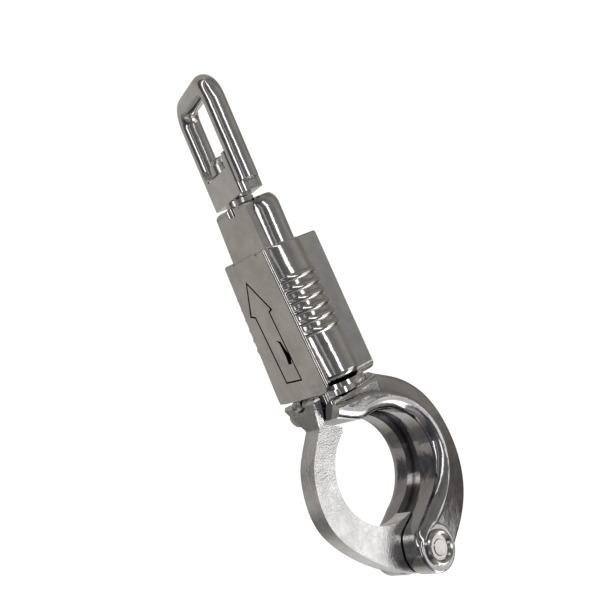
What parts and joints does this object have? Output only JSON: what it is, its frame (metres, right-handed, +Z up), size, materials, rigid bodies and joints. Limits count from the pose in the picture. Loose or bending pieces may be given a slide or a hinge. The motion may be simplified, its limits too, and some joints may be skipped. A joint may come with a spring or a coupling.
{
  "type": "quick-release swivel snap hook",
  "caption": "Quick-release swivel snap hook: swivel eye, hook body with a fixed arm, spring-loaded ribbed sleeve that locks a hinged gate.",
  "frame": {"origin": "centre of the swivel eye's opening, on the swivel axis", "axes": "+Z up the shank and the swivel axis towards the top of the eye, +X from the gate towards the fixed arm, +Y across the hook, along the gate's hinge line"},
  "size_m": [0.0354, 0.0206, 0.1001],
  "materials": {
    "eye_plated": "polished nickel plate",
    "pin_steel": "plain bright steel",
    "body_plated": "polished nickel plate over a slightly wavy die casting",
    "sleeve_plated": "polished nickel plate over a slightly wavy die casting",
    "spring_steel": "drawn spring wire",
    "gate_plated": "polished nickel plate",
    "rivet_steel": "nickel-plated steel, rolled end"
  },
  "bodies": {
    "eye": {"swivel_eye": "eye_plated"},
    "hook": {"swivel_pin": "pin_steel", "hook_body": "body_plated", "gate_rivet": "rivet_steel", "return_spring": "spring_steel"},
    "sleeve": {"release_sleeve": "sleeve_plated"},
    "gate": {"gate": "gate_plated"}
  },
  "joints": [
    {"name": "eye_swivel", "type": "hinge", "parent": "eye", "child": "hook", "pos_m": [0, 0, -0.0125], "axis": [0, 0, 1], "continuous": true},
    {"name": "sleeve_slide", "type": "slide", "parent": "hook", "child": "sleeve", "axis": [0, 0, 1], "range_m": [0, 0.009], "stiffness_N_per_m": 600, "springref_m": -0.00667, "deforming": ["return_spring"]},
    {"name": "gate_hinge", "type": "hinge", "parent": "hook", "child": "gate", "pos_m": [0.00605, 0, -0.085], "axis": [0, -1, 0], "range_deg": [0, 80]}
  ],
  "couplings": [
    {"joint": "gate_hinge", "follows": "sleeve_slide", "rad_per_m": 155.14}
  ]
}
